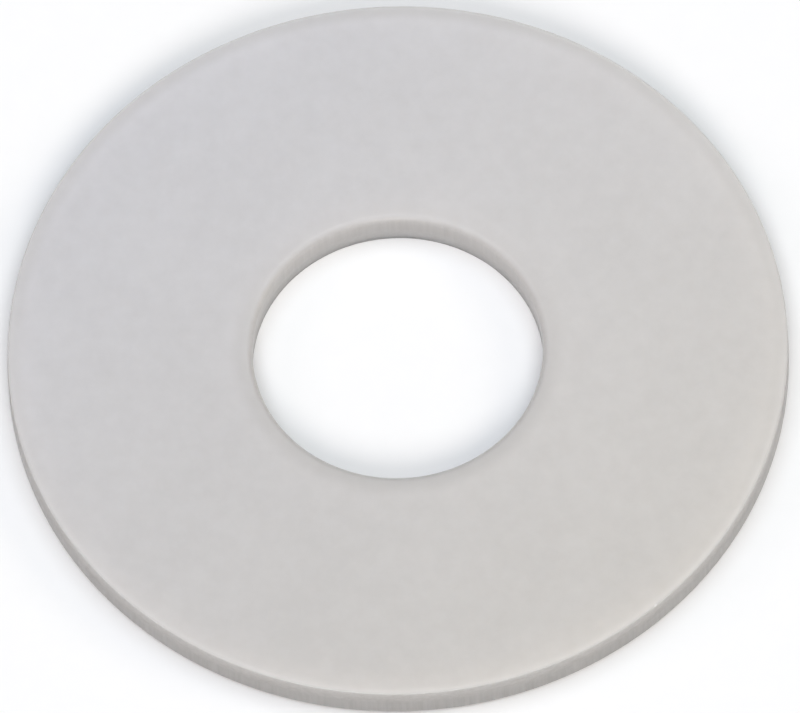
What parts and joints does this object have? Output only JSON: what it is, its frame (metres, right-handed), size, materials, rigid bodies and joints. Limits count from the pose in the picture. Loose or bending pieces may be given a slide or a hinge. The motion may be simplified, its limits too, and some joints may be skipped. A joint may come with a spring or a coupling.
{
  "type": "flat washer",
  "caption": "Plain flat ring of translucent white plastic with a round bolt hole, which spreads the load under a bolt head or nut.",
  "frame": {"origin": "centre of the underside, on the washer's own axis", "axes": "+Z along the bolt axis, from the underside towards the face whose bore edge is rolled over; +X and +Y lie in the underside"},
  "size_m": [0.035, 0.035, 0.0018],
  "materials": {
    "natural_nylon": "satin"
  },
  "bodies": {
    "root": {"washer_ring": "natural_nylon"}
  },
  "joints": []
}
